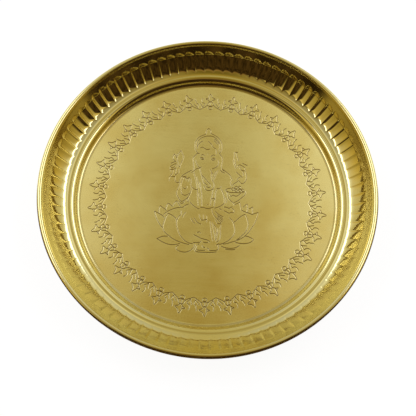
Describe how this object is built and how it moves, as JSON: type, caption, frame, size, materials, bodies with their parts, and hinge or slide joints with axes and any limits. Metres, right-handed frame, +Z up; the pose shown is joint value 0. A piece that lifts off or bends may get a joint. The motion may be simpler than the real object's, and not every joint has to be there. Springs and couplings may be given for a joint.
{
  "type": "thali plate",
  "caption": "Round brass thali for worship with a flat floor, a small step, a ledge, a fluted sloping wall and an edge rolled over a stiffening wire.",
  "frame": {"origin": "on the surface the plate stands on, under the middle of its floor", "axes": "+Z up, along the plate's axis; +Y towards the top of the figure engraved on the floor"},
  "size_m": [0.25, 0.25, 0.024],
  "materials": {
    "brass": "polished sheet brass with a satin floor and fine handling marks",
    "steel_wire": "drawn wire, dull"
  },
  "bodies": {
    "root": {"dish": "brass", "rim_wire": "steel_wire"}
  },
  "joints": []
}
